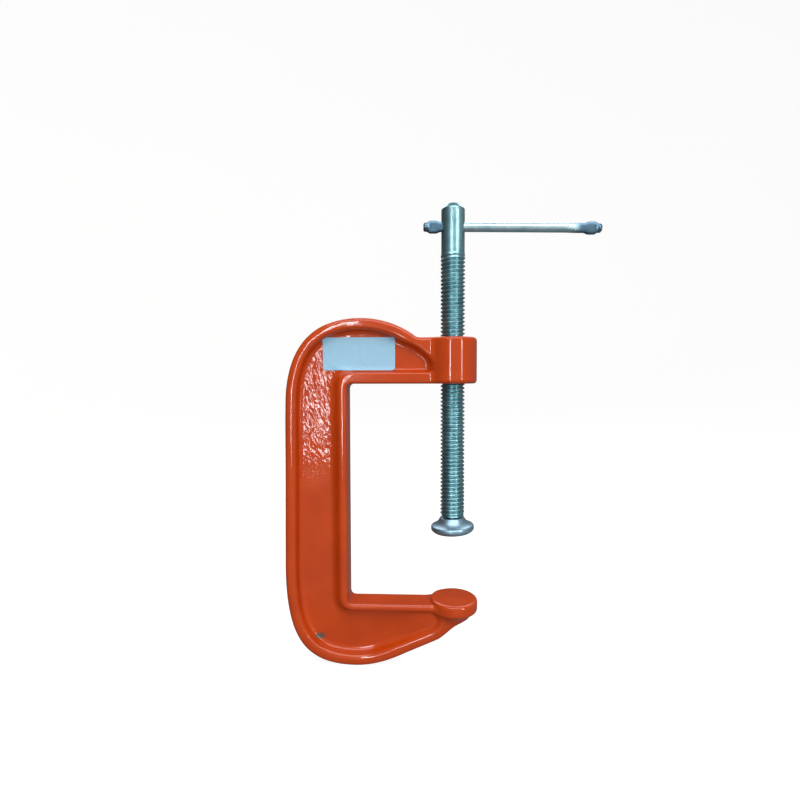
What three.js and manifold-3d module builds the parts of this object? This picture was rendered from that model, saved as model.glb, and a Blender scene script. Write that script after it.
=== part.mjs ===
// A four inch C clamp: a painted I-section casting, a threaded spindle with a sliding tommy bar,
// a swivel pad crimped over the spindle's ball end, and a blank paper label.
// Millimetres. +Z runs up the screw axis towards the tommy bar, the throat opens towards +X,
// and the origin is the middle of the anvil's clamping face.

import * as THREE from "three";
import { mergeVertices } from "three/addons/utils/BufferGeometryUtils.js";
import Module from "manifold-3d";

const wasm = await Module();
wasm.setup();

// Driving dimensions: the casting, seen from the front
const SPINE_INNER_X = -46.0;
const SPINE_OUTER_X = -73.8;
const JAW_TOP_Z = -1.6;
const JAW_UNDERSIDE_Z = 95.5;
const FRAME_TOP_Z = 123.9;
const FRAME_BOTTOM_Z = -29.2;
const CROWN_X = -40.0;
const ARCH_RADIUS = 40.0;
const ARCH_END_ANGLE = THREE.MathUtils.degToRad(56);
const SADDLE_X = -14.2;
const RIM_WIDTH = 4.8;
const SPINE_FLANGE = 3.2;
const UPPER_FLANGE = 4.8;
const LOWER_FLANGE = 2.4;
const THROAT_CORNER_RADIUS = 2.5;
const SHOULDER_Z = 86.0;
const SHOULDER_LEAN = 0.8;
const HEEL_Z = 14.0;
const HEEL_BOTTOM_X = -42.5;
const JAW_TIP_X = 6.0;
const JAW_TIP_Z = -7.0;
const BOSS_INSIDE_X = 2.0;

// Driving dimensions: the recess on each face
const POCKET_CORNER_RADIUS = 6.5;
const POCKET_FLOOR_END_X = -17.5;
const POCKET_LOWER_END_X = -11.0;
const POCKET_ARCH_END_ANGLE = THREE.MathUtils.degToRad(55);

// Driving dimensions: the casting's thickness
const FRAME_THICKNESS = 13.0;
const WEB_THICKNESS = 4.6;
const EDGE_ROUND = 1.2;
const WEB_FILLET = 1.2;

// Driving dimensions: the boss and the anvil
const BOSS_RADIUS = 10.5;
const BOSS_TOP_Z = 115.5;
const BOSS_EDGE_ROUND = 1.4;
const BOSS_DRAFT = 0.1;
const BORE_OVERSHOOT = 5.0;
const ANVIL_X = 0.8;
const ANVIL_RADIUS = 10.4;
const ANVIL_FACE_RADIUS = 9.2;
const ANVIL_RIM_Z = -4.4;
const ANVIL_ROOT_RADIUS = 5.0;
const ANVIL_ROOT_Z = -9.6;

// Driving dimensions: the spindle
const THREAD_RADIUS = 5.35;
const THREAD_TOP_Z = 152.0;
const THREAD_CHAMFER = 1.0;
const SHANK_RADIUS = 5.05;
const SPINDLE_TOP_Z = 172.8;
const SPINDLE_TOP_CHAMFER = 2.2;
const BAR_HOLE_Z = 163.0;
const BAR_HOLE_RADIUS = 2.4;
const BALL_RADIUS = 2.6;
const BALL_NECK_RADIUS = 1.8;
const BALL_Z = 33.5;

// Driving dimensions: the tommy bar
const BAR_RADIUS = 1.95;
const BAR_LEFT_X = -12.8;
const BAR_RIGHT_X = 63.1;
const BAR_TIP_CHAMFER = 0.5;
const BAR_TILT_DEG = 1.2;
const NUB_LENGTH = 1.6;
const WING_START = 3.2;
const WING_END = 6.2;
const STAKE_LENGTH = 7.3;
const WING_HALF_WIDTH = 2.6;
const WING_HALF_THICKNESS = 1.5;

// Driving dimensions: the swivel pad
const PAD_NECK_Z = 36.6;
const PAD_NECK_RADIUS = 5.4;
const PAD_RIM_RADIUS = 9.5;
const PAD_RIM_TOP_Z = 33.0;
const PAD_FACE_Z = 30.0;
const PAD_FACE_RADIUS = 8.6;
const PAD_FACE_CHAMFER = 0.9;
const PAD_THROAT_RADIUS = 2.3;
const PAD_TILT_DEG = 2.7;

// Driving dimensions: the label
const LABEL_WIDTH = 31.2;
const LABEL_HEIGHT = 13.6;
const LABEL_CORNER = 1.4;
const LABEL_THICKNESS = 0.2;
const LABEL_LIFT = 0.3;
const LABEL_CENTRE_X = -40.8;
const LABEL_CENTRE_Z = 107.9;

// Clearance between pieces that touch on the real tool
const GAP = 0.3;

const ROUND_SEGMENTS = 40;

// A three.js geometry as a manifold solid.
function solid(geometry) {
  const bare = geometry.clone();
  bare.deleteAttribute("normal");
  bare.deleteAttribute("uv");
  const merged = mergeVertices(bare, 1e-4);
  const mesh = new wasm.Mesh({
    numProp: 3,
    vertProperties: new Float32Array(merged.attributes.position.array),
    triVerts: new Uint32Array(merged.index.array),
  });
  return new wasm.Manifold(mesh);
}

// A manifold solid as a three.js geometry.
function geometryOf(manifold) {
  const mesh = manifold.getMesh();
  const geometry = new THREE.BufferGeometry();
  geometry.setAttribute("position", new THREE.BufferAttribute(new Float32Array(mesh.vertProperties), 3));
  geometry.setIndex(new THREE.BufferAttribute(new Uint32Array(mesh.triVerts), 1));
  geometry.computeVertexNormals();
  return geometry;
}

// A named mesh with the colour, roughness and metalness of its finish.
function piece(name, geometry, color, roughness, metalness) {
  const material = new THREE.MeshStandardMaterial({ color, roughness, metalness });
  const mesh = new THREE.Mesh(geometry, material);
  mesh.name = name;
  return mesh;
}

// A shape drawn in X and Z, as a plate from y = low to y = high with rounded edges.
function plate(shape, low, high, bevel, steps) {
  const geometry = new THREE.ExtrudeGeometry(shape, {
    depth: high - low - 2 * bevel,
    bevelEnabled: bevel > 0,
    bevelThickness: bevel,
    bevelSize: bevel,
    bevelOffset: -bevel,
    bevelSegments: steps,
    curveSegments: 7,
  });
  geometry.rotateX(Math.PI / 2);
  geometry.translate(0, high - bevel, 0);
  return geometry;
}

// A profile of [radius, height] pairs turned about the Z axis.
function turned(profile, segments = ROUND_SEGMENTS) {
  const points = profile.map(([radius, height]) => new THREE.Vector2(radius, height));
  const geometry = new THREE.LatheGeometry(points, segments);
  geometry.rotateX(Math.PI / 2);
  return geometry;
}

// The C of the casting, without its boss and anvil.
function frameOutline() {
  const archZ = FRAME_TOP_Z - ARCH_RADIUS;
  const archEndX = CROWN_X + ARCH_RADIUS * Math.cos(ARCH_END_ANGLE);
  const archEndZ = archZ + ARCH_RADIUS * Math.sin(ARCH_END_ANGLE);
  const corner = THROAT_CORNER_RADIUS;
  const shape = new THREE.Shape();
  shape.moveTo(BOSS_INSIDE_X, BOSS_TOP_Z);
  shape.lineTo(SADDLE_X, BOSS_TOP_Z);
  shape.quadraticCurveTo(SADDLE_X - 2, BOSS_TOP_Z, archEndX, archEndZ);
  shape.absarc(CROWN_X, archZ, ARCH_RADIUS, ARCH_END_ANGLE, Math.PI / 2, false);
  shape.bezierCurveTo(-61.5, FRAME_TOP_Z, -72.8, 110.9, SPINE_OUTER_X + SHOULDER_LEAN, SHOULDER_Z);
  shape.lineTo(SPINE_OUTER_X, HEEL_Z);
  shape.bezierCurveTo(SPINE_OUTER_X + 0.2, -18, -65.4, FRAME_BOTTOM_Z, HEEL_BOTTOM_X, FRAME_BOTTOM_Z);
  shape.bezierCurveTo(-36.5, FRAME_BOTTOM_Z, -30.5, -27.6, -24.4, -25);
  shape.lineTo(-6.5, -16.9);
  shape.quadraticCurveTo(-4.2, -15.6, -0.8, -12.3);
  shape.lineTo(JAW_TIP_X, JAW_TIP_Z);
  shape.lineTo(JAW_TIP_X, JAW_TOP_Z - 1);
  shape.lineTo(-JAW_TIP_X, JAW_TOP_Z);
  shape.lineTo(SPINE_INNER_X + corner, JAW_TOP_Z);
  shape.quadraticCurveTo(SPINE_INNER_X, JAW_TOP_Z, SPINE_INNER_X, JAW_TOP_Z + corner);
  shape.lineTo(SPINE_INNER_X, JAW_UNDERSIDE_Z - corner);
  shape.quadraticCurveTo(SPINE_INNER_X, JAW_UNDERSIDE_Z, SPINE_INNER_X + corner, JAW_UNDERSIDE_Z);
  shape.lineTo(BOSS_INSIDE_X, JAW_UNDERSIDE_Z);
  return shape;
}

// The recess between the outer rim and the inner flange, which leaves the web.
function pocketOutline() {
  const archZ = FRAME_TOP_Z - ARCH_RADIUS;
  const left = SPINE_OUTER_X + RIM_WIDTH;
  const top = FRAME_TOP_Z - RIM_WIDTH;
  const bottom = FRAME_BOTTOM_Z + RIM_WIDTH;
  const right = SPINE_INNER_X - SPINE_FLANGE;
  const upperFloor = JAW_UNDERSIDE_Z + UPPER_FLANGE;
  const lowerRoof = JAW_TOP_Z - LOWER_FLANGE;
  const corner = POCKET_CORNER_RADIUS;
  const shape = new THREE.Shape();
  shape.moveTo(right + corner, upperFloor);
  shape.lineTo(POCKET_FLOOR_END_X, upperFloor);
  shape.bezierCurveTo(-12.8, upperFloor, -12.8, 107.5, -19.5, 112.5);
  shape.absarc(CROWN_X, archZ, ARCH_RADIUS - RIM_WIDTH, POCKET_ARCH_END_ANGLE, Math.PI / 2, false);
  shape.bezierCurveTo(-59.5, top, -67.9, 108.3, left + SHOULDER_LEAN, SHOULDER_Z);
  shape.lineTo(left, HEEL_Z);
  shape.bezierCurveTo(left + 0.3, -15.2, -62.2, bottom, HEEL_BOTTOM_X, bottom);
  shape.bezierCurveTo(-37, bottom, -32, -23.2, -26.4, -20.6);
  shape.lineTo(-10.5, -13.4);
  shape.bezierCurveTo(-5.6, -10.8, -5.6, lowerRoof - 0.5, POCKET_LOWER_END_X, lowerRoof);
  shape.lineTo(right + corner, lowerRoof);
  shape.quadraticCurveTo(right, lowerRoof, right, lowerRoof + corner);
  shape.lineTo(right, upperFloor - corner);
  shape.quadraticCurveTo(right, upperFloor, right + corner, upperFloor);
  return shape;
}

// The recess's cutter for one face of the casting; the front is side -1 and the back is side 1.
function pocketCutter(side) {
  const web = WEB_THICKNESS / 2;
  const outside = FRAME_THICKNESS / 2 + 6;
  const low = side < 0 ? -outside : web;
  const high = side < 0 ? -web : outside;
  return solid(plate(pocketOutline(), low, high, WEB_FILLET, 2));
}

// The boss at the end of the upper jaw, a little wider at the bottom, with its edges rounded.
function bossSolid() {
  const round = BOSS_EDGE_ROUND;
  const shave = 0.3 * round;
  const wide = BOSS_RADIUS + BOSS_DRAFT;
  const narrow = BOSS_RADIUS - BOSS_DRAFT;
  return solid(
    turned([
      [0, JAW_UNDERSIDE_Z],
      [wide - round, JAW_UNDERSIDE_Z],
      [wide - shave, JAW_UNDERSIDE_Z + shave],
      [wide, JAW_UNDERSIDE_Z + round],
      [narrow, BOSS_TOP_Z - round],
      [narrow - shave, BOSS_TOP_Z - shave],
      [narrow - round, BOSS_TOP_Z],
      [0, BOSS_TOP_Z],
    ]),
  );
}

// The round anvil at the end of the lower jaw, tapering into the jaw below its rim.
function anvilSolid() {
  const edge = ANVIL_RADIUS - ANVIL_FACE_RADIUS;
  const geometry = turned([
    [0, ANVIL_ROOT_Z],
    [ANVIL_ROOT_RADIUS, ANVIL_ROOT_Z],
    [ANVIL_RADIUS - 1, ANVIL_RIM_Z - 1.6],
    [ANVIL_RADIUS, ANVIL_RIM_Z],
    [ANVIL_RADIUS, -edge],
    [ANVIL_RADIUS - edge * 0.3, -edge * 0.3],
    [ANVIL_FACE_RADIUS, 0],
    [0, 0],
  ]);
  geometry.translate(ANVIL_X, 0, 0);
  return solid(geometry);
}

// The bore that the spindle's thread runs in, as a plain clearance hole.
function boreCutter() {
  const radius = THREAD_RADIUS + GAP;
  const low = JAW_UNDERSIDE_Z - BORE_OVERSHOOT;
  const high = BOSS_TOP_Z + BORE_OVERSHOOT;
  return solid(
    turned([
      [0, low],
      [radius, low],
      [radius, high],
      [0, high],
    ]),
  );
}

// One casting: the C with its two recesses, the boss with its bore, and the anvil.
function makeFrame() {
  const half = FRAME_THICKNESS / 2;
  const casting = solid(plate(frameOutline(), -half, half, EDGE_ROUND, 2))
    .subtract(pocketCutter(-1))
    .subtract(pocketCutter(1))
    .add(bossSolid())
    .add(anvilSolid())
    .subtract(boreCutter());
  return piece("frame", geometryOf(casting), 0xc2471f, 0.25, 0.0);
}

// The screw, with its thread as a plain cylinder over the crests, and the ball at its lower end.
function makeSpindle() {
  const neckTop = PAD_NECK_Z + GAP;
  const top = SPINDLE_TOP_Z;
  const chamfer = SPINDLE_TOP_CHAMFER;
  const ball = solid(new THREE.SphereGeometry(BALL_RADIUS, 20, 12).translate(0, 0, BALL_Z));
  const body = solid(
    turned([
      [0, BALL_Z],
      [BALL_NECK_RADIUS, BALL_Z],
      [BALL_NECK_RADIUS, neckTop],
      [THREAD_RADIUS - THREAD_CHAMFER, neckTop],
      [THREAD_RADIUS, neckTop + THREAD_CHAMFER],
      [THREAD_RADIUS, THREAD_TOP_Z - THREAD_CHAMFER],
      [SHANK_RADIUS, THREAD_TOP_Z],
      [SHANK_RADIUS, top - chamfer],
      [SHANK_RADIUS - 0.8 * chamfer, top - 0.2 * chamfer],
      [SHANK_RADIUS - 1.4 * chamfer, top],
      [0, top],
    ]),
  );
  const hole = new THREE.CylinderGeometry(BAR_HOLE_RADIUS, BAR_HOLE_RADIUS, 4 * SHANK_RADIUS, 24);
  hole.rotateZ(Math.PI / 2);
  hole.translate(0, 0, BAR_HOLE_Z);
  const spindle = body.add(ball).subtract(solid(hole));
  return piece("spindle", geometryOf(spindle), 0x9fb4b8, 0.28, 1.0);
}

// How far a staked end has spread, from 0 on the round bar to 1 at the wing, measured from the tip.
function stakeShare(fromTip) {
  const nub = THREE.MathUtils.smoothstep(fromTip, NUB_LENGTH, WING_START);
  const shoulder = 1 - THREE.MathUtils.smoothstep(fromTip, WING_END, STAKE_LENGTH);
  return Math.min(nub, shoulder);
}

// A round bar whose two ends are pinched into flat wings that can't pass the spindle's hole.
function makeTommyBar() {
  const length = BAR_RIGHT_X - BAR_LEFT_X;
  const chamfer = BAR_TIP_CHAMFER;
  const nubMiddle = (NUB_LENGTH + WING_START) / 2;
  const shoulderMiddle = (WING_END + STAKE_LENGTH) / 2;
  const sections = [0, chamfer, NUB_LENGTH, nubMiddle, WING_START, WING_END, shoulderMiddle, STAKE_LENGTH];
  const stations = sections.concat(sections.map((s) => length - s).reverse());
  const profile = stations.map((s) => {
    const atTip = s < chamfer / 2 || s > length - chamfer / 2;
    return new THREE.Vector2(atTip ? BAR_RADIUS - chamfer : BAR_RADIUS, s);
  });
  const closed = [new THREE.Vector2(0, 0), ...profile, new THREE.Vector2(0, length)];
  const geometry = new THREE.LatheGeometry(closed, 24);
  const position = geometry.attributes.position;
  for (let i = 0; i < position.count; i += 1) {
    const along = position.getY(i);
    const share = stakeShare(Math.min(along, length - along));
    const spread = THREE.MathUtils.lerp(1, WING_HALF_WIDTH / BAR_RADIUS, share);
    const pinch = THREE.MathUtils.lerp(1, WING_HALF_THICKNESS / BAR_RADIUS, share);
    position.setX(i, position.getX(i) * pinch);
    position.setZ(i, position.getZ(i) * spread);
  }
  geometry.rotateZ(-Math.PI / 2);
  geometry.translate(BAR_LEFT_X, 0, 0);
  const bar = piece("tommy_bar", geometryOf(solid(geometry)), 0xa9b9bf, 0.3, 1.0);
  bar.position.set(0, 0, BAR_HOLE_Z);
  bar.rotation.y = THREE.MathUtils.degToRad(BAR_TILT_DEG);
  return bar;
}

// The pad, crimped over the spindle's ball end, with its socket open at the neck.
function makeSwivelPad() {
  const outside = solid(
    turned([
      [0, PAD_FACE_Z - BALL_Z],
      [PAD_FACE_RADIUS, PAD_FACE_Z - BALL_Z],
      [PAD_RIM_RADIUS, PAD_FACE_Z + PAD_FACE_CHAMFER - BALL_Z],
      [PAD_RIM_RADIUS, PAD_RIM_TOP_Z - 0.4 - BALL_Z],
      [PAD_RIM_RADIUS - 0.5, PAD_RIM_TOP_Z - BALL_Z],
      [PAD_NECK_RADIUS + 1.7, PAD_RIM_TOP_Z + 0.8 - BALL_Z],
      [PAD_NECK_RADIUS + 0.5, PAD_RIM_TOP_Z + 1.9 - BALL_Z],
      [PAD_NECK_RADIUS, PAD_NECK_Z - 0.5 - BALL_Z],
      [PAD_NECK_RADIUS - 0.6, PAD_NECK_Z - BALL_Z],
      [0, PAD_NECK_Z - BALL_Z],
    ]),
  );
  const socket = solid(new THREE.SphereGeometry(BALL_RADIUS + GAP, 20, 12));
  const throat = solid(
    turned(
      [
        [0, 0],
        [PAD_THROAT_RADIUS, 0],
        [PAD_THROAT_RADIUS, PAD_NECK_Z - BALL_Z + 2],
        [0, PAD_NECK_Z - BALL_Z + 2],
      ],
      20,
    ),
  );
  const pad = piece("swivel_pad", geometryOf(outside.subtract(socket).subtract(throat)), 0xa7bccb, 0.3, 1.0);
  pad.position.set(0, 0, BALL_Z);
  pad.rotation.y = -THREE.MathUtils.degToRad(PAD_TILT_DEG);
  return pad;
}

// The paper label on the front of the web, blank.
function makeLabel() {
  const w = LABEL_WIDTH / 2;
  const h = LABEL_HEIGHT / 2;
  const r = LABEL_CORNER;
  const shape = new THREE.Shape();
  shape.moveTo(-w + r, -h);
  shape.lineTo(w - r, -h);
  shape.absarc(w - r, -h + r, r, -Math.PI / 2, 0, false);
  shape.absarc(w - r, h - r, r, 0, Math.PI / 2, false);
  shape.absarc(-w + r, h - r, r, Math.PI / 2, Math.PI, false);
  shape.absarc(-w + r, -h + r, r, Math.PI, 1.5 * Math.PI, false);
  const back = -WEB_THICKNESS / 2 - LABEL_LIFT;
  const geometry = plate(shape, back - LABEL_THICKNESS, back, 0, 1);
  const label = piece("paper_label", geometry, 0xbfe0ee, 0.6, 0.0);
  label.position.set(LABEL_CENTRE_X, 0, LABEL_CENTRE_Z);
  return label;
}

const clamp = new THREE.Group();
clamp.add(makeFrame());
clamp.add(makeLabel());
clamp.add(makeSpindle());
clamp.add(makeTommyBar());
clamp.add(makeSwivelPad());

export default clamp;
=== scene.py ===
# %% [markdown]
# # A C clamp, piece by piece
# This lesson dresses a small C clamp: an enamelled iron casting, a zinc plated screw, a swivel
# pad, a tommy bar and a paper label. The engineering model is loaded first. It is the frame that
# every Blender piece is fitted to, in metres, with Z up the screw and the front facing -Y.

# %% Load the frame
import math

import bmesh
import bpy
import numpy as np
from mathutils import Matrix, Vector


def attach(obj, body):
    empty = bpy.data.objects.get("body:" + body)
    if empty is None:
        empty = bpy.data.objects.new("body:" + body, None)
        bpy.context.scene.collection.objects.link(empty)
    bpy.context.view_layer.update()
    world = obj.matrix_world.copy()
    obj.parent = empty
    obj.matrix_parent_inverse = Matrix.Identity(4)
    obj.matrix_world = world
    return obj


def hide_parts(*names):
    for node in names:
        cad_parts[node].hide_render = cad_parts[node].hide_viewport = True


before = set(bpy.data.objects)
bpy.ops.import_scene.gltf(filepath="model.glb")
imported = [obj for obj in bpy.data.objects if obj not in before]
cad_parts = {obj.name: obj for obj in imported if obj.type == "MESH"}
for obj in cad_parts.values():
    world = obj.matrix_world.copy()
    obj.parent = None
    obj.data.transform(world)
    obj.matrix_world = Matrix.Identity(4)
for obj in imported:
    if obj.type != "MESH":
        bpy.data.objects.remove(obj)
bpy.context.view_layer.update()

# %% [markdown]
# Two small helpers serve every step. Lengths are written in millimetres and multiplied by MM,
# because that is how a drawing of a hand tool is read. `as_object` turns points and faces into a
# smooth shaded object, and marks an edge sharp where the two faces beside it turn by more than a
# given angle, so that a machined corner stays crisp while a round stays round.

# %% Points and faces into an object
MM = 0.001


def as_object(name, points, faces, sharp_deg=40):
    mesh = bpy.data.meshes.new(name)
    mesh.from_pydata((np.asarray(points) * MM).tolist(), [], [list(f) for f in faces])
    work = bmesh.new()
    work.from_mesh(mesh)
    bmesh.ops.remove_doubles(work, verts=work.verts, dist=0.001 * MM)
    bmesh.ops.recalc_face_normals(work, faces=work.faces)
    for edge in work.edges:
        edge.smooth = not edge.is_manifold or edge.calc_face_angle(0) < math.radians(sharp_deg)
    work.to_mesh(mesh)
    work.free()
    for polygon in mesh.polygons:
        polygon.use_smooth = True
    made = bpy.data.objects.new(name, mesh)
    bpy.context.scene.collection.objects.link(made)
    print(name, len(mesh.polygons), "faces")
    return made


# %% [markdown]
# ## The casting
# The frame is one iron casting. Sand casting leaves no sharp corner anywhere: every edge is
# rounded and every inside corner carries a fillet. Box modelling would need each fillet by hand.
# A distance field gives them all at once: it says how far each point of space is from the metal,
# and two shapes joined with a rounded minimum meet in a fillet. The drawing comes first: the
# outer edge of the C and the recess between rim and flange, as runs of Bezier curves in X and Z.

# %% Curves of the drawing
RIM = 4.8
FLANGE = 3.2
UPPER_FLANGE = 4.8
LOWER_FLANGE = 2.4
SPINE_IN, SPINE_OUT = -46.0, -73.8
JAW_TOP, JAW_UNDER = -1.6, 95.5
TOP, BOTTOM = 123.9, -29.2
CROWN_X, ARCH_R = -40.0, 40.0
ARCH_Z = TOP - ARCH_R
BOSS_TOP = 115.5


def bezier(*control, steps=12):
    t = np.linspace(0, 1, steps + 1)[:, None]
    layer = [np.asarray(point, float) + 0 * t for point in control]
    while len(layer) > 1:
        layer = [a * (1 - t) + b * t for a, b in zip(layer, layer[1:])]
    return layer[0]


def arc(centre_x, centre_z, radius, start_deg, end_deg, steps=14):
    turn = np.radians(np.linspace(start_deg, end_deg, steps + 1))
    return np.stack([centre_x + radius * np.cos(turn), centre_z + radius * np.sin(turn)], 1)


def closed_line(runs):
    points = np.concatenate(runs)
    step = np.linalg.norm(points - np.roll(points, 1, 0), axis=1)
    return points[step > 1e-6]


# %% The two outlines
arch_end = arc(CROWN_X, ARCH_Z, ARCH_R, 56, 90)
outer_line = closed_line([
    [(2, BOSS_TOP)],
    bezier((-14.2, BOSS_TOP), (-16.2, BOSS_TOP), arch_end[0]),
    arch_end,
    bezier((CROWN_X, TOP), (-61.5, TOP), (-72.8, 110.9), (-73.0, 86), steps=24),
    bezier((SPINE_OUT, 14), (-73.6, -18), (-65.4, BOTTOM), (-42.5, BOTTOM), steps=28),
    bezier((-42.5, BOTTOM), (-36.5, BOTTOM), (-30.5, -27.6), (-24.4, -25)),
    bezier((-6.5, -16.9), (-4.2, -15.6), (-0.8, -12.3), steps=6),
    [(6, -7), (6, JAW_TOP - 1), (-6, JAW_TOP)],
    bezier((-43.5, JAW_TOP), (SPINE_IN, JAW_TOP), (SPINE_IN, 0.9), steps=8),
    bezier((SPINE_IN, 93), (SPINE_IN, JAW_UNDER), (-43.5, JAW_UNDER), steps=8),
    [(2, JAW_UNDER)],
])
left, right = SPINE_OUT + RIM, SPINE_IN - FLANGE
floor_z, roof_z = JAW_UNDER + UPPER_FLANGE, JAW_TOP - LOWER_FLANGE
pocket_line = closed_line([
    [(-8, floor_z)],
    bezier((-8, 104), (-11, 108), (-15, 111.3), (-20.4, 113.4)),
    arc(CROWN_X, ARCH_Z, ARCH_R - RIM, 56, 90),
    bezier((CROWN_X, TOP - RIM), (-59.5, TOP - RIM), (-67.9, 108.3), (left + 0.8, 86), steps=24),
    bezier((left, 14), (left + 0.3, -15.2), (-62.2, BOTTOM + RIM), (-42.5, BOTTOM + RIM), steps=28),
    bezier((-42.5, BOTTOM + RIM), (-37, BOTTOM + RIM), (-32, -23.0), (-26.4, -20.3)),
    bezier((-10.5, -13.6), (-4.2, -10.8), (-4.4, roof_z - 0.5), (-9, roof_z)),
    bezier((right + 6.5, roof_z), (right, roof_z), (right, roof_z + 6.5), steps=8),
    bezier((right, floor_z - 6.5), (right, floor_z), (right + 6.5, floor_z), steps=8),
])
print("outer edge", len(outer_line), "points, recess", len(pocket_line), "points")

# %% [markdown]
# The field needs three tools: the distance to a closed line in the drawing's plane, a rounded
# union, which leaves a fillet of a stated radius in the inside corner, and a rounded
# intersection, which rounds the outside edge.

# %% Distance and rounded joints


def distance_to_line(line, x, z):
    nearest = np.full(x.shape, 1e9)
    inside = np.zeros(x.shape, bool)
    for (ax, az), (bx, bz) in zip(line, np.roll(line, -1, 0)):
        ex, ez = bx - ax, bz - az
        along = np.clip(((x - ax) * ex + (z - az) * ez) / (ex * ex + ez * ez), 0, 1)
        nearest = np.minimum(nearest, np.hypot(x - ax - along * ex, z - az - along * ez))
        if az != bz:
            inside ^= ((az > z) != (bz > z)) & (x < ax + ex * (z - az) / ez)
    return np.where(inside, -nearest, nearest)


def join(a, b, fillet):
    return np.maximum(fillet, np.minimum(a, b)) - np.hypot(
        np.maximum(fillet - a, 0), np.maximum(fillet - b, 0))


def overlap(a, b, rounding):
    return np.minimum(-rounding, np.maximum(a, b)) + np.hypot(
        np.maximum(rounding + a, 0), np.maximum(rounding + b, 0))


# %% [markdown]
# Poured iron and thick enamel are never quite flat. A lattice of seeded random heights, blended
# smoothly from point to point, gives waves of any stated size. `step_up` is the smooth step that
# blends them. It also fades one region of the casting into the next: its two numbers are then
# places along an axis, or against it, in millimetres, where the change begins and is complete.

# %% Seeded unevenness
SEED, LATTICE_SIZE = 11, 64
LATTICE = np.random.default_rng(SEED).uniform(-1, 1, (LATTICE_SIZE, LATTICE_SIZE))
BEYOND = 200  # further than any point of the clamp, so that places in the lattice are positive


def step_up(value, low, high):
    t = np.clip((value - low) / (high - low), 0, 1)
    return t * t * (3 - 2 * t)


def lattice_value(i, j):
    return LATTICE[i % LATTICE_SIZE, j % LATTICE_SIZE]


def waves(x, z, size_mm, shift=0.0):
    u, v = (x + BEYOND) / size_mm + shift, (z + BEYOND) / size_mm + 1.7 * shift
    i, j = np.floor(u).astype(int), np.floor(v).astype(int)
    fu, fv = step_up(u - i, 0, 1), step_up(v - j, 0, 1)
    low = lattice_value(i, j) * (1 - fu) + lattice_value(i + 1, j) * fu
    high = lattice_value(i, j + 1) * (1 - fu) + lattice_value(i + 1, j + 1) * fu
    return low * (1 - fv) + high * fv


# %% [markdown]
# Now the casting as a field. The rim and flange stand 6.4 mm either side of the middle plane,
# and the web between them is 4.6 mm thick. The outer beads are rounded to 1.9 mm. The flange
# round the throat is crisper, with a sloping inner wall, as its pattern had to draw out of the
# sand there. Near the anvil the web stands up to 2.6 mm higher, which makes the recess shallow.

# %% Faces of rim and web
HALF_THICK, WEB_HALF, SHALLOW_RISE = 6.4, 2.3, 2.6
SLOW_WAVE, QUICK_WAVE = 9.0, 1.9


def rim_surface(x, z):
    return HALF_THICK + 0.06 * waves(x, z, 7.0, 3.0)


def web_surface(x, z):
    rough_mould = step_up(z, 50, 76) * step_up(-x, 42, 50)
    towards_anvil = step_up(x, -36, -6) * step_up(-z, -20, 0)
    slow = 0.04 * waves(x, z, SLOW_WAVE)
    quick = 0.05 * rough_mould * waves(x, z, QUICK_WAVE, 5.0)
    return WEB_HALF + SHALLOW_RISE * towards_anvil + slow + quick


# %% [markdown]
# Rim and flange are what is left of a slab when the recess is cut from it, and the web is then
# joined on with a fillet. The recess's wall slopes: `DRAFT` is how far it leans out for each
# millimetre of depth, and the throat side leans more.

# %% Rim, flange and web
BEAD, THROAT_BEAD = 1.9, 1.0
INNER_BEAD, THROAT_INNER_BEAD = 1.5, 0.7
DRAFT, THROAT_DRAFT = 0.2, 0.55
FILLET = 1.5


def bars_and_web(x, side, z, outer, pocket):
    rim_face = rim_surface(x, z)
    throat = step_up(x, -62, -55) * step_up(z, -12, -6) * step_up(-z, -108, -102)
    draft = DRAFT + THROAT_DRAFT * throat * step_up(-x, 43, 49)
    pocket_wall = pocket + draft * (rim_face - side)
    slab = overlap(outer, side - rim_face, BEAD + (THROAT_BEAD - BEAD) * throat)
    bars = overlap(slab, -pocket_wall, INNER_BEAD + (THROAT_INNER_BEAD - INNER_BEAD) * throat)
    web = overlap(outer + RIM / 2, side - web_surface(x, z), 0.5)
    return join(bars, web, FILLET)


# %% [markdown]
# The boss and the anvil are upright cylinders. The anvil is a disc on a short cone, and at the
# back its fillet is larger, where the disc runs into the rim. Each fillet adds a little metal
# outside the drawing, so the whole is trimmed to the outline and the two cylinders at the end,
# before the bore for the screw is cut.

# %% Boss, anvil and bore
BOSS_R, BORE_R, BORE_EDGE = 10.5, 5.6, 0.5
BOSS_MID, BOSS_HALF = (JAW_UNDER + BOSS_TOP) / 2, (BOSS_TOP - JAW_UNDER) / 2
ANVIL_R, ANVIL_X, ANVIL_DEEP, ANVIL_EDGE = 10.4, 0.8, 5.4, 1.2
ROOT_LOW, ROOT_INSET, ROOT_SLOPE = -9.6, 0.9, (0.66, 0.75)
BACK_FILLET, TRIM_GAP = 2.3, 0.02
MIDDLE_Z, FAR = 40, 1e9


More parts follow.
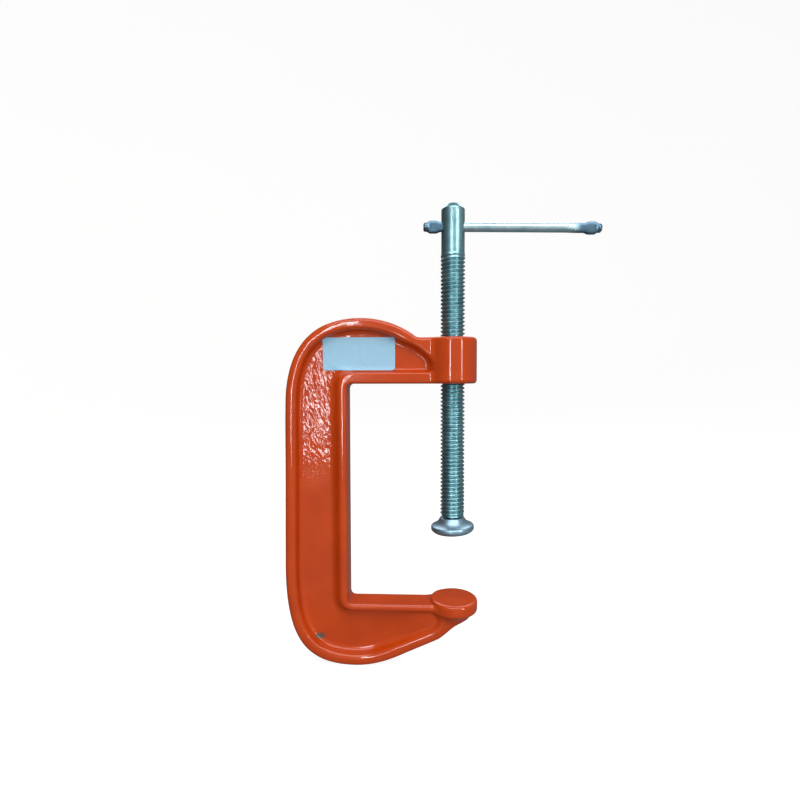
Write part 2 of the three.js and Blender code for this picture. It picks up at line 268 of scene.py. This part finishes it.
def casting_field(x, y, z, outer, pocket):
    metal = bars_and_web(x, np.abs(y), z, outer, pocket)
    from_screw, from_anvil = np.hypot(x, y), np.hypot(x - ANVIL_X, y)
    boss_ends = np.abs(z - BOSS_MID) - BOSS_HALF
    metal = join(metal, overlap(from_screw - BOSS_R, boss_ends, FILLET), FILLET)
    disc = overlap(from_anvil - ANVIL_R, np.maximum(z, -ANVIL_DEEP - z), ANVIL_EDGE)
    root_side = from_anvil - ANVIL_R + ROOT_INSET
    cone = root_side * ROOT_SLOPE[0] - (z + ANVIL_DEEP) * ROOT_SLOPE[1]
    root = np.maximum(np.maximum(cone, root_side), np.maximum(z + 1, ROOT_LOW - z))
    metal = join(metal, np.minimum(disc, root), FILLET + BACK_FILLET * step_up(y, -3, 5))
    boss_limit = np.maximum(from_screw - BOSS_R, boss_ends)
    anvil_limit = np.maximum(from_anvil - ANVIL_R, np.maximum(z, ROOT_LOW - z))
    limit = np.minimum(outer, np.minimum(boss_limit, anvil_limit))
    bore = np.where(z > MIDDLE_Z, BORE_R - from_screw, -FAR)
    return overlap(np.maximum(metal, limit + TRIM_GAP), bore, BORE_EDGE)


# %% [markdown]
# The field becomes a mesh with surface nets: one point in each small cell that the surface
# passes through, at the middle of its crossings, and one face across each crossed grid edge. A
# voxel remesh of a rough model would do it too, but it would lose the exact radii of the field.

# %% A point in each crossed cell
CORNERS = np.array([(i, j, k) for i in (0, 1) for j in (0, 1) for k in (0, 1)])
CELL_EDGES = [(a, b) for a in range(8) for b in range(a + 1, 8)
              if np.abs(CORNERS[a] - CORNERS[b]).sum() == 1]


def crossed_cells(solid):
    ends = np.array(solid.shape) - 1
    count = np.zeros(ends, np.int8)
    for i, j, k in CORNERS:
        count += solid[i:i + ends[0], j:j + ends[1], k:k + ends[2]]
    return np.argwhere((count > 0) & (count < 8))


def cell_points(field, cells):
    values = np.stack([field[tuple((cells + corner).T)] for corner in CORNERS], 1)
    total, hits = np.zeros((len(cells), 3)), np.zeros(len(cells))
    for a, b in CELL_EDGES:
        va, vb = values[:, a], values[:, b]
        crossed = (va < 0) != (vb < 0)
        share = np.where(crossed, va / np.where(crossed, va - vb, 1), 0)
        total += crossed[:, None] * (CORNERS[a] + share[:, None] * (CORNERS[b] - CORNERS[a]))
        hits += crossed
    return cells + total / hits[:, None]


# %% A face across each crossed grid edge


def surface_nets(field, origin, step):
    solid = field < 0
    cells = crossed_cells(solid)
    points = origin + step * cell_points(field, cells)
    number = np.full(np.array(field.shape) - 1, -1, np.int64)
    number[tuple(cells.T)] = np.arange(len(cells))
    faces = []
    for axis in range(3):
        u, v = np.eye(3, dtype=int)[(axis + 1) % 3], np.eye(3, dtype=int)[(axis + 2) % 3]
        low = [slice(1, -1)] * 3
        high = list(low)
        low[axis], high[axis] = slice(0, -1), slice(1, None)
        a, b = solid[tuple(low)], solid[tuple(high)]
        offset = np.ones(3, int)
        offset[axis] = 0
        for wanted, flip in ((a & ~b, False), (~a & b, True)):
            cell = np.argwhere(wanted) + offset
            ring = [cell, cell - u, cell - u - v, cell - v]
            quad = np.stack([number[tuple(r.T)] for r in ring], 1)
            faces.append(quad[:, ::-1] if flip else quad)
    return points, np.concatenate(faces)


# %% [markdown]
# The grid has a point every half millimetre, so the smallest bead of 0.7 mm still gets its round.
# The drawing is the same at every depth, so its two distances are worked out once in X and Z, and
# shared by every slice in Y.

# %% Mesh the casting
VOXEL = 0.5
low_corner, high_corner = np.array([-75.5, -12.0, -31.0]), np.array([13.0, 12.0, 125.6])
counts = np.ceil((high_corner - low_corner) / VOXEL).astype(int)
axes = [low_corner[i] + VOXEL * np.arange(counts[i]) for i in range(3)]
plane_x, plane_z = np.meshgrid(axes[0], axes[2], indexing="ij")
outer_distance = distance_to_line(outer_line, plane_x, plane_z)
pocket_distance = distance_to_line(pocket_line, plane_x, plane_z)
field = casting_field(
    axes[0][:, None, None], axes[1][None, :, None], axes[2][None, None, :],
    outer_distance[:, None, :], pocket_distance[:, None, :])
points, faces = surface_nets(field, low_corner, VOXEL)
casting = as_object("casting", points, faces, sharp_deg=60)
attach(casting, "frame")
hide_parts("frame")

# %% [markdown]
# ## The screw
# The spindle is one turned bar with a rolled thread of 1.7 mm pitch. A thread is a lathe shape
# whose radius also depends on the angle, so it is made as a grid of rings: each point's radius
# comes from where it stands in the thread's groove. A spiral swept along a curve would leave the
# groove's ends to be trimmed. Here the groove is a V between flat crests, and it simply fades out
# over a couple of turns at the shank.

# %% Rings into a mesh


def rings_to_faces(ring_count, around):
    faces = []
    for i in range(ring_count - 1):
        for j in range(around):
            k = (j + 1) % around
            low, high = i * around, (i + 1) * around
            faces.append((low + j, low + k, high + k, high + j))
    return faces


def capped(ring_count, around):
    last = (ring_count - 1) * around
    return rings_to_faces(ring_count, around) + [
        tuple(range(around - 1, -1, -1)), tuple(range(last, last + around))]


# %% Radius of the thread
PITCH, CREST_R, ROOT_R, SHANK_R = 1.7, 5.3, 4.38, 5.05
THREAD_LOW, THREAD_HIGH, SPINDLE_TOP = 36.9, 152.0, 172.8
RUN_IN, RUN_OUT, STEP_DOWN = 2.0, 4.5, 1.5
ROOT_FLAT, FLANK = 0.08, 0.8  # shares of half a pitch
LEAD_R, LEAD_SLOPE = 4.4, 1.2
BALL_Z, BALL_R, NECK_R = 33.5, 2.6, 1.8


def screw_radius(z, angle):
    from_root = np.abs(((z / PITCH - angle / (2 * np.pi)) % 1) - 0.5) * 2
    depth = 1 - np.clip((from_root - ROOT_FLAT) / FLANK, 0, 1)
    depth = depth * step_up(z, THREAD_LOW - 0.6, THREAD_LOW - 0.6 + RUN_IN)
    depth = depth * step_up(-z, -THREAD_HIGH, RUN_OUT - THREAD_HIGH)
    crest = CREST_R + (SHANK_R - CREST_R) * step_up(z, THREAD_HIGH - STEP_DOWN, THREAD_HIGH)
    end = np.minimum(crest, LEAD_R + LEAD_SLOPE * np.maximum(z - THREAD_LOW, 0))
    return end - (CREST_R - ROOT_R) * depth * np.where(z > THREAD_LOW + 0.5, 1, 0.4)


# %% [markdown]
# The rings run from the ball, through the neck and the thread, to the plain shank and the
# chamfer at the top, where each is written as how far it lies inside the shank, and its height.
# The chamfer's own edges get rings close together, which keep its face flat and dark between two
# bright lines.

# %% The threaded spindle
AROUND, RINGS_PER_TURN = 72, 11
shank_top = [(0, THREAD_HIGH), (0, 155), (0, 158), (0, 168), (0, 170.2), (0.04, 170.45),
             (0.14, 170.6), (0.2, 170.67), (1.65, 172.36), (1.75, 172.46), (2.3, 172.7),
             (3.0, SPINDLE_TOP), (SHANK_R - 0.4, SPINDLE_TOP)]
angle = np.linspace(0, 2 * np.pi, AROUND, endpoint=False)
ball_turn = np.radians(np.linspace(8, 136, 12))
outline = [(BALL_R * math.sin(t), BALL_Z - BALL_R * math.cos(t)) for t in ball_turn]
outline.append((NECK_R, THREAD_LOW - 0.01))
thread_rings = np.arange(THREAD_LOW, THREAD_HIGH, PITCH / RINGS_PER_TURN)
outline += [(screw_radius(z, angle), z) for z in thread_rings]
outline += [(SHANK_R - inset, z) for inset, z in shank_top]
points = np.concatenate([
    np.stack([r * np.cos(angle), r * np.sin(angle), z + 0 * angle], 1) for r, z in outline])
spindle = as_object("screw", points, capped(len(outline), AROUND), sharp_deg=50)
print("thread turns", round((THREAD_HIGH - THREAD_LOW) / PITCH, 1))

# %% [markdown]
# The cross hole for the tommy bar is drilled through the shank, as on the real screw. A boolean
# with a plain cylinder, 4.8 mm across, does the drilling.

# %% Drill the cross hole
BAR_Z, HOLE_R, HOLE_SIDES = 163.0, 2.4, 48
turn = np.linspace(0, 2 * np.pi, HOLE_SIDES, endpoint=False)
points = [(x, HOLE_R * math.cos(a), BAR_Z + HOLE_R * math.sin(a)) for x in (-8, 8) for a in turn]
drill = as_object("drill", points, capped(2, HOLE_SIDES))
bore = spindle.modifiers.new("cross_hole", "BOOLEAN")
bore.object, bore.operation, bore.solver = drill, "DIFFERENCE", "EXACT"
depsgraph = bpy.context.evaluated_depsgraph_get()
drilled = bpy.data.meshes.new_from_object(spindle.evaluated_get(depsgraph))
spindle.modifiers.clear()
spindle.data = drilled
bpy.data.objects.remove(drill)
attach(spindle, "spindle")
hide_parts("spindle")

# %% [markdown]
# ## The tommy bar
# The handle is a drawn rod slid through the hole, with both ends pinched in a press so they
# can't pull back through. A loft along the rod shows it: round sections, then sections that are
# squeezed flat front and back, a wing where they also spread up and down, and a small round nub
# at the tip. All of this is measured from the tip. The bar leans 1.2 degrees, as its hole is a
# little larger than the rod.

# %% Sections of the pinched bar
BAR_R, BAR_LEFT, BAR_RIGHT, BAR_TILT = 1.93, -12.8, 63.05, math.radians(1.2)
SQUEEZE, SPREAD, SQUARENESS = 0.48, 0.66, 2.2
BAR_SIDES = 40
bar_turn = np.linspace(0, 2 * np.pi, BAR_SIDES, endpoint=False)


def bar_ring(x, from_tip):
    pinch = float(step_up(from_tip, 1.3, 3.0))
    wing = min(pinch, 1 - float(step_up(from_tip, 5.4, 7.4)))
    squeeze = min(pinch, 1 - float(step_up(from_tip, 8.5, 15.0)))
    tip = BAR_R - max(0, 0.5 - from_tip)
    c, s = np.cos(bar_turn), np.sin(bar_turn)
    y = (tip - SQUEEZE * squeeze) * np.sign(c) * np.abs(c) ** (1 / (1 + SQUARENESS * squeeze))
    z = (tip + SPREAD * wing) * np.sign(s) * np.abs(s) ** (1 - 0.12 * wing)
    return np.stack([x * np.cos(BAR_TILT) + z * np.sin(BAR_TILT), y,
                     BAR_Z - x * np.sin(BAR_TILT) + z * np.cos(BAR_TILT)], 1)


# %% The pinched bar
PLAIN = 30  # any distance beyond the pinched 15 mm gives a round section
from_tips = [0, 0.15, 0.5, 1.0, 1.3, 1.7, 2.1, 2.6, 3.0, 3.6, 4.4, 5.4, 5.9, 6.4, 6.9, 7.4, 8.0]
from_tips += [8.5, 9.3, 10.2, 11.2, 12.2, 13.2, 14.2, 15.0]
stations = [(BAR_LEFT + d, d) for d in from_tips] + [(20, PLAIN), (40, PLAIN)]
stations += [(BAR_RIGHT - d, d) for d in reversed(from_tips)]
points = np.concatenate([bar_ring(x, d) for x, d in stations])
bar = as_object("tommy_rod", points, capped(len(stations), BAR_SIDES), sharp_deg=50)
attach(bar, "bar")
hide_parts("tommy_bar")

# %% [markdown]
# ## The swivel pad
# The pad is pressed steel, crimped over the ball so that it can lean and turn. Its outside is a
# lathe shape: a flat face, a narrow chamfer, an upright rim, and a flare that sweeps in to the
# neck. The outline then turns in through the mouth and runs round the socket inside. The pad
# leans 2.7 degrees about the ball, as it does when it hangs loose.

# %% The turned pad
PAD_TILT, SOCKET_R, PAD_SIDES = math.radians(2.7), 2.85, 96
flare = bezier((8.9, 33.05), (7.5, 33.6), (6.1, 34.6), (5.5, 36.0), steps=12)
socket_turn = np.radians([120, 100, 80, 60, 40, 20, 1])
pad_profile = [(0.01, 30.0), (4, 30.0), (7.9, 30.0), (8.35, 30.1), (8.9, 30.5), (9.3, 30.95),
               (9.45, 31.3), (9.45, 32.3), (9.38, 32.65), (9.2, 32.92), *flare.tolist(),
               (5.2, 36.35), (4.9, 36.52), (4.4, 36.55), (2.7, 36.5), (2.35, 36.2), (2.3, 35.3)]
pad_profile += [(SOCKET_R * math.sin(a), BALL_Z - SOCKET_R * math.cos(a)) for a in socket_turn]
pad_turn = np.linspace(0, 2 * np.pi, PAD_SIDES, endpoint=False)
points = np.concatenate([
    np.stack([r * np.cos(pad_turn), r * np.sin(pad_turn), z - BALL_Z + 0 * pad_turn], 1)
    for r, z in pad_profile])
c, s = math.cos(-PAD_TILT), math.sin(-PAD_TILT)
lean = np.array([[c, 0, s], [0, 1, 0], [-s, 0, c]])
points = points @ lean.T + np.array([0, 0, BALL_Z])
pad = as_object("pressed_pad", points, capped(len(pad_profile), PAD_SIDES), sharp_deg=50)
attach(pad, "pad")
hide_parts("swivel_pad")

# %% [markdown]
# ## The paper label
# The label is a plain sticker with rounded corners, and it is left blank. Paper follows the
# casting it is pressed on, so the sheet is a fine grid laid a hair above the web, and its upper
# corner climbs the fillet of the rim. Each row is shortened at both ends by the corner's round.

# %% Corners and cut edge of the sheet
LABEL_LOW, LABEL_HIGH, LABEL_R = (-56.7, 101.35), (-25.1, 115.7), 1.3
columns, rows = 80, 40
heights = np.linspace(LABEL_LOW[1], LABEL_HIGH[1], rows)
near_end = np.minimum(heights - heights[0], heights[-1] - heights)
inset = LABEL_R - np.sqrt(LABEL_R ** 2 - np.clip(LABEL_R - near_end, 0, LABEL_R) ** 2)
label_x = np.stack([np.linspace(LABEL_LOW[0] + i, LABEL_HIGH[0] - i, columns) for i in inset])
label_z = np.repeat(heights[:, None], columns, 1)

# %% [markdown]
# The casting's own field tells how far out the metal stands under each point of the sheet. The
# height is counted in steps of 0.1 mm, limited where the rim rises, and smoothed as stiff paper
# would bridge small hollows, without ever sinking into the metal.

# %% Laid on the casting
STEP, CLIMB = 0.1, 1.6
outer_here = distance_to_line(outer_line, label_x, label_z)
pocket_here = distance_to_line(pocket_line, label_x, label_z)
reach = np.arange(1.6, 6.6, STEP)
inside = np.stack([casting_field(label_x, -d, label_z, outer_here, pocket_here) < 0 for d in reach])
surface = np.minimum(reach[0] + STEP * inside.sum(0), WEB_HALF + CLIMB)
lifted = surface
for _ in range(12):
    padded = np.pad(lifted, 1, mode="edge")
    lifted = (padded[:-2, 1:-1] + padded[2:, 1:-1] + padded[1:-1, :-2] + padded[1:-1, 2:]) / 4
    lifted = np.maximum(lifted, surface)

# %% [markdown]
# Two copies of the grid, the printed front and the glued back 0.12 mm behind it, are joined by a
# strip of faces all round, so the sheet has a real thickness and a pale cut edge.

# %% The stuck label
FRONT_OUT, BACK_OUT = 0.22, 0.1
grid = rows * columns
points = np.concatenate([
    np.stack([label_x, -(lifted + out), label_z], -1).reshape(-1, 3)
    for out in (FRONT_OUT, BACK_OUT)])
faces = []
for i in range(rows - 1):
    for j in range(columns - 1):
        a = i * columns + j
        faces.append((a, a + 1, a + columns + 1, a + columns))
        faces.append((grid + a, grid + a + columns, grid + a + columns + 1, grid + a + 1))
border = list(range(columns)) + [i * columns + columns - 1 for i in range(1, rows)]
border += [(rows - 1) * columns + j for j in range(columns - 2, -1, -1)]
border += [i * columns for i in range(rows - 2, 0, -1)]
for a, b in zip(border, border[1:] + border[:1]):
    faces.append((a, a + grid, b + grid, b))
label = as_object("blank_label", points, faces, sharp_deg=50)
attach(label, "frame")
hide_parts("paper_label")

# %% [markdown]
# ## Finishes
# Each material starts from the real one. One function turns a colour from its usual hex form to
# the linear numbers that Blender wants, and one adds a node with its settings and links, where
# i0, i1 and so on name an input by its place. `per_metre` turns the size of a pattern in
# millimetres into a noise scale, since the coordinates are in metres.

# %% Helpers for materials


def linear(hex_colour, alpha=1.0):
    channels = [int(hex_colour[i:i + 2], 16) / 255 for i in (1, 3, 5)]
    return [c / 12.92 if c <= 0.04045 else ((c + 0.055) / 1.055) ** 2.4 for c in channels] + [alpha]


def add(tree, kind, settings=None, stops=None, **links):
    made = tree.nodes.new(kind)
    for key, value in (settings or {}).items():
        setattr(made, key, value)
    for (position, colour), element in zip(stops or [], made.color_ramp.elements if stops else []):
        element.position, element.color = position, colour
    for key, value in links.items():
        name = int(key[1:]) if key[0] == "i" and key[1:].isdigit() else key.replace("_", " ")
        if isinstance(value, bpy.types.NodeSocket):
            tree.links.new(value, made.inputs[name])
        else:
            made.inputs[name].default_value = value
    return made


def new_material(name, obj):
    material = bpy.data.materials.new(name)
    material.use_nodes = True
    material.node_tree.nodes.clear()
    obj.data.materials.clear()
    obj.data.materials.append(material)
    return material.node_tree


def per_metre(size_mm):
    return 1 / (size_mm * MM)


# %% [markdown]
# ### Enamel on cast iron
# Orange enamel, sprayed thick on a rough casting: wet looking, so the eye gets long streaks on
# the beads, broken up by an orange peel of about 1.5 mm. The paint is a little deeper in colour
# and glossier where it pooled, over patches of about 14 mm. Enamel has an IOR near 1.5 and no
# metallic part.

# %% Enamel: colour and peel
tree = new_material("orange_enamel_sprayed_on_cast_iron", casting)
coords = add(tree, "ShaderNodeTexCoord")
place = coords.outputs["Object"]
pool = add(tree, "ShaderNodeTexNoise", Vector=place, Scale=per_metre(14), Detail=3.0).outputs["Fac"]
paint = add(tree, "ShaderNodeValToRGB", stops=[(0.3, linear("#B53C0A")), (0.7, linear("#C0430D"))],
            Fac=pool)
peel = add(tree, "ShaderNodeTexNoise", Vector=place, Scale=per_metre(1.5),
           Detail=1.0).outputs["Fac"]
shine = add(tree, "ShaderNodeMapRange", Value=pool, To_Min=0.07, To_Max=0.14)

# %% [markdown]
# On the upper part of the web the mould was rough. Dimples about 1.2 mm wide and 2.2 mm long,
# all raked the same way, break a lamp's reflection into glitter. Their mapping is of the texture
# kind: it takes real sizes in metres, and turns before it stretches.

# %% Enamel: raked dimples
raked = add(tree, "ShaderNodeMapping", {"vector_type": "TEXTURE"}, Vector=place,
            Rotation=(0, math.radians(-28), 0), Scale=(1.15 * MM, 1.6 * MM, 2.2 * MM))
dimple = add(tree, "ShaderNodeTexNoise", Vector=raked.outputs["Vector"], Scale=1.0, Detail=0.0,
             Distortion=0.3)

# %% [markdown]
# The patch of dimples is bounded by four soft limits, multiplied together: high enough up the
# spine, left of the throat, sunk below the rim's face, and turned to the front or the back. The
# last two keep it off the beads and the outer edge.

# %% Enamel: where the mould was rough
split = add(tree, "ShaderNodeSeparateXYZ", Vector=place)
sideways = add(tree, "ShaderNodeMath", {"operation": "ABSOLUTE"}, i0=split.outputs["Y"])
turned = add(tree, "ShaderNodeSeparateXYZ", Vector=coords.outputs["Normal"])
flatness = add(tree, "ShaderNodeMath", {"operation": "ABSOLUTE"}, i0=turned.outputs["Y"])
limits = [(split.outputs["X"], -40 * MM, -50 * MM), (sideways.outputs["Value"], 4.6 * MM, 3.4 * MM),
          (flatness.outputs["Value"], 0.6, 0.9)]
high = add(tree, "ShaderNodeMapRange", Value=split.outputs["Z"], From_Min=57 * MM, From_Max=71 * MM)
rough_zone = high.outputs["Result"]
for value, outside, within in limits:
    limit = add(tree, "ShaderNodeMapRange", Value=value, From_Min=outside, From_Max=within)
    both = add(tree, "ShaderNodeMath", {"operation": "MULTIPLY"}, i0=rough_zone,
               i1=limit.outputs["Result"])
    rough_zone = both.outputs["Value"]

# %% Enamel: relief
DIMPLE_DEPTH = 7.5
dimples = add(tree, "ShaderNodeMath", {"operation": "MULTIPLY"}, i0=dimple.outputs["Fac"],
              i1=rough_zone)
relief = add(tree, "ShaderNodeMath", {"operation": "MULTIPLY_ADD"}, i0=dimples.outputs["Value"],
             i1=DIMPLE_DEPTH, i2=peel)
bump = add(tree, "ShaderNodeBump", Height=relief.outputs["Value"], Strength=0.4, Distance=0.06 * MM)

# %% [markdown]
# A chip near the heel shows grey primer. It is an ellipse 5 by 3 mm around a point on the web,
# whose edge a fine noise of 0.8 mm makes ragged.

# %% Enamel: chip and shader
chip_place = add(tree, "ShaderNodeMapping", {"vector_type": "TEXTURE"}, Vector=place,
                 Location=(-59.2 * MM, -WEB_HALF * MM, -17.6 * MM),
                 Scale=(2.5 * MM, 1.5 * MM, 1.5 * MM)).outputs["Vector"]
from_chip = add(tree, "ShaderNodeVectorMath", {"operation": "LENGTH"}, i0=chip_place)
ragged = add(tree, "ShaderNodeTexNoise", Vector=place, Scale=per_metre(0.8), Detail=4.0,
             Roughness=0.7)
chip_edge = add(tree, "ShaderNodeMath", {"operation": "MULTIPLY_ADD"}, i0=ragged.outputs["Fac"],
                i1=1.8, i2=from_chip.outputs["Value"])
chip = add(tree, "ShaderNodeMapRange", Value=chip_edge.outputs["Value"], From_Min=1.9, From_Max=1.7)
mixed = add(tree, "ShaderNodeMix", {"data_type": "RGBA"}, Factor=chip.outputs["Result"],
            i6=paint.outputs["Color"], i7=linear("#5E4E44"))
enamel = add(tree, "ShaderNodeBsdfPrincipled", Base_Color=mixed.outputs[2],
             Roughness=shine.outputs["Result"], IOR=1.5, Normal=bump.outputs["Normal"])
add(tree, "ShaderNodeOutputMaterial", Surface=enamel.outputs["BSDF"])

# %% [markdown]
# ### Blue zinc plate
# The screw, bar and pad are bright zinc plated steel. The thin blue passivation tints the
# reflections, and most of all on the rolled thread. The plate is cloudy over 4.5 mm, so the eye
# gets soft stripes with slightly uneven edges, and the pad is the least shiny of the three.
# Turning and drawing leave lines finer than a tenth of a millimetre, round the screw and pad and
# along the rod. They are drawn about 0.4 mm apart, which is as coarse as they need to be to show.

# %% Zinc plate


def zinc(name, obj, dark, pale, line_mm, line_depth, rough_low, rough_high):
    tree = new_material(name, obj)
    place = add(tree, "ShaderNodeTexCoord").outputs["Object"]
    cloud = add(tree, "ShaderNodeTexNoise", Vector=place, Scale=per_metre(4.5),
                Detail=4.0).outputs["Fac"]
    plate = add(tree, "ShaderNodeValToRGB", stops=[(0.35, linear(dark)), (0.65, linear(pale))],
                Fac=cloud)
    stretched = add(tree, "ShaderNodeMapping", {"vector_type": "TEXTURE"}, Vector=place,
                    Scale=[size * MM for size in line_mm])
    lines = add(tree, "ShaderNodeTexNoise", Vector=stretched.outputs["Vector"], Scale=1.0,
                Detail=2.0)
    bump = add(tree, "ShaderNodeBump", Height=lines.outputs["Fac"], Strength=line_depth,
               Distance=0.02 * MM)
    shine = add(tree, "ShaderNodeMapRange", Value=cloud, To_Min=rough_low, To_Max=rough_high)
    metal = add(tree, "ShaderNodeBsdfPrincipled", Base_Color=plate.outputs["Color"], Metallic=1.0,
                Roughness=shine.outputs["Result"], Normal=bump.outputs["Normal"])
    add(tree, "ShaderNodeOutputMaterial", Surface=metal.outputs["BSDF"])
    return tree, plate, metal


zinc("blue_zinc_on_rolled_thread", spindle, "#86B4BE", "#9CC6CE", (8, 8, 0.35), 0.05, 0.28, 0.38)
zinc("blue_zinc_on_pressed_steel", pad, "#98BACF", "#A8C8DC", (5, 5, 0.5), 0.3, 0.34, 0.46)
tree, plate, metal = zinc("blue_zinc_on_drawn_rod", bar, "#B0D2E0", "#C4E0EC", (12, 0.4, 0.4),
                          0.3, 0.26, 0.36)

# %% [markdown]
# The pinched ends of the bar get a darker base colour. This is painted shade, standing in for the
# dark surroundings that their flat faces reflect. The rod is 75.9 mm long. The darkening starts 24
# mm either side of its middle, and is complete 29 mm out, just before the wings begin.

# %% Painted shade on the pinched ends
place = add(tree, "ShaderNodeTexCoord").outputs["Object"]
along = add(tree, "ShaderNodeSeparateXYZ", Vector=place).outputs["X"]
centred = add(tree, "ShaderNodeMath", {"operation": "SUBTRACT"}, i0=along,
              i1=(BAR_LEFT + BAR_RIGHT) / 2 * MM)
from_middle = add(tree, "ShaderNodeMath", {"operation": "ABSOLUTE"}, i0=centred.outputs["Value"])
painted_shade_mask = add(tree, "ShaderNodeMapRange", Value=from_middle.outputs["Value"],
              From_Min=24.0 * MM, From_Max=29.0 * MM)
# Painted shade: the ends are mixed towards a dark blue grey, standing in for a dark reflection.
painted_shade_ends = add(tree, "ShaderNodeMix", {"data_type": "RGBA"}, Factor=painted_shade_mask.outputs["Result"],
             i6=plate.outputs["Color"], i7=linear("#5E7E94"))
tree.links.new(painted_shade_ends.outputs[2], metal.inputs["Base Color"])

# %% [markdown]
# ### Label paper
# Coated paper is matt and pale, so the eye sees a dry sheet beside the wet paint. Its fibre is
# too fine to show, so it is drawn 0.7 mm coarse, faintly, to break up the colour. Its IOR is
# near 1.45.

# %% Label paper
tree = new_material("pale_blue_coated_paper", label)
place = add(tree, "ShaderNodeTexCoord").outputs["Object"]
fibre = add(tree, "ShaderNodeTexNoise", Vector=place, Scale=per_metre(0.7),
            Detail=4.0).outputs["Fac"]
pulp = add(tree, "ShaderNodeValToRGB", stops=[(0.3, linear("#90BED8")), (0.7, linear("#98C5DE"))],
           Fac=fibre)
bump = add(tree, "ShaderNodeBump", Height=fibre, Strength=0.12, Distance=0.05 * MM)
paper = add(tree, "ShaderNodeBsdfPrincipled", Base_Color=pulp.outputs["Color"], Roughness=0.55,
            IOR=1.45, Normal=bump.outputs["Normal"])
add(tree, "ShaderNodeOutputMaterial", Surface=paper.outputs["BSDF"])

# %% [markdown]
# ## The studio
# The clamp stands in a pale bowl, flat underneath and curving up to a wall, so that no horizon
# shows from any side. Metal looks white in a white room, so the bowl is a backdrop only: it
# glows a little and is left out of reflections, which see a dim sky instead. That keeps the dark
# edges of the screw. The sky is brighter in front and on the right.

# %% The bowl
BOWL_SIDES, FLOOR_R, CURVE_R, WALL_TOP = 96, 1100, 700, 2600
bowl_arc = np.radians(np.arange(0, 91, 6))
bowl_profile = [(0.001, 0)]
bowl_profile += [(FLOOR_R + CURVE_R * math.sin(a), CURVE_R * (1 - math.cos(a))) for a in bowl_arc]
bowl_profile += [(FLOOR_R + CURVE_R, WALL_TOP)]
bowl_turn = np.linspace(0, 2 * np.pi, BOWL_SIDES, endpoint=False)
points = np.concatenate([
    np.stack([r * np.cos(bowl_turn), r * np.sin(bowl_turn), z + BOTTOM + 0 * bowl_turn], 1)
    for r, z in bowl_profile])
faces = rings_to_faces(len(bowl_profile), BOWL_SIDES) + [tuple(range(BOWL_SIDES))]
bowl = as_object("pale_bowl", points, faces, sharp_deg=80)
bowl.visible_glossy = bowl.visible_diffuse = bowl.visible_shadow = False

# %% [markdown]
# The card's colour drifts a little over 300 mm. The sky's strength follows the direction that a
# ray leaves in: its dot product with one heading is highest to the front right and lowest to the
# back left.

# %% Card and sky
tree = new_material("matt_white_card", bowl)
place = add(tree, "ShaderNodeTexCoord").outputs["Object"]
speck = add(tree, "ShaderNodeTexNoise", Vector=place, Scale=per_metre(300)).outputs["Fac"]
card_colour = add(tree, "ShaderNodeValToRGB",
                  stops=[(0.0, linear("#8C8C8A")), (1.0, linear("#90908E"))], Fac=speck)
card = add(tree, "ShaderNodeBsdfPrincipled", Base_Color=card_colour.outputs["Color"], Roughness=0.9,
           Emission_Color=linear("#FFFFFF"), Emission_Strength=0.88)
add(tree, "ShaderNodeOutputMaterial", Surface=card.outputs["BSDF"])
world = bpy.data.worlds.new("sky")
bpy.context.scene.world = world
world.use_nodes = True
tree = world.node_tree
toward = add(tree, "ShaderNodeTexCoord").outputs["Generated"]
heading = add(tree, "ShaderNodeVectorMath", {"operation": "DOT_PRODUCT"}, i0=toward,
              i1=(0.8, -0.6, 0))
glow = add(tree, "ShaderNodeMapRange", Value=heading.outputs["Value"], From_Min=-0.8, From_Max=0.8,
           To_Min=0.10, To_Max=0.30)
tree.links.new(glow.outputs["Result"], tree.nodes["Background"].inputs["Strength"])
tree.nodes["Background"].inputs["Color"].default_value = linear("#FFFFFF")

# %% [markdown]
# Two tall strip lamps draw the bright stripes down the screw and the streaks on the enamel: a
# key well to the right, and a cooler one in front, a little to the left. A broad, weak panel in
# front and a soft one above fill the shadows, and one high behind lights the far side. A panel's
# power is worked out from how bright its face should look, because that is what a reflection
# shows. Azimuth is in degrees from the front towards the right, and sizes are in metres.

# %% Lights
AIM = Vector((-0.02, 0, 0.08))


def panel(name, azimuth, elevation, distance, wide, tall, brightness, colour):
    a, e = math.radians(azimuth), math.radians(elevation)
    away = Vector((math.sin(a) * math.cos(e), -math.cos(a) * math.cos(e), math.sin(e)))
    lamp = bpy.data.lights.new(name, "AREA")
    lamp.shape, lamp.size, lamp.size_y = "RECTANGLE", wide, tall
    lamp.energy, lamp.color = brightness * math.pi * wide * tall, linear(colour)[:3]
    made = bpy.data.objects.new(name, lamp)
    made.location = AIM + away * distance
    made.rotation_euler = (-away).to_track_quat("-Z", "Y").to_euler()
    made.visible_camera = False
    bpy.context.scene.collection.objects.link(made)


panel("key_strip", 42, 17, 0.8, 0.036, 0.62, 28, "#FFFAF4")
panel("front_strip", -13, 7, 0.7, 0.030, 0.44, 34, "#F4FAFF")
panel("front_fill", 8, 0, 0.75, 0.90, 0.90, 0.20, "#FFF4DC")
panel("soft_top", 5, 58, 0.9, 1.00, 0.62, 3.1, "#FFFFFF")
panel("high_back", 180, 48, 0.9, 0.90, 0.50, 2.6, "#FFFFFF")

# %% [markdown]
# ## The camera
# A wide lens stands close in front of the upper jaw, almost level with it, about 0.2 m away. That
# near, the anvil's face is seen from above and the tommy bar from below.

# %% Camera
camera = bpy.data.objects.new("camera", bpy.data.cameras.new("camera"))
camera.data.lens, camera.data.sensor_width = 22.05, 36.0
camera.data.clip_start = 0.005
camera.location = (-0.01369, -0.21582, 0.09822)
camera.rotation_euler = [math.radians(d) for d in (87.364, 0.126, 2.491)]
bpy.context.scene.collection.objects.link(camera)
bpy.context.scene.camera = camera
bpy.context.scene.view_settings.view_transform = "Standard"
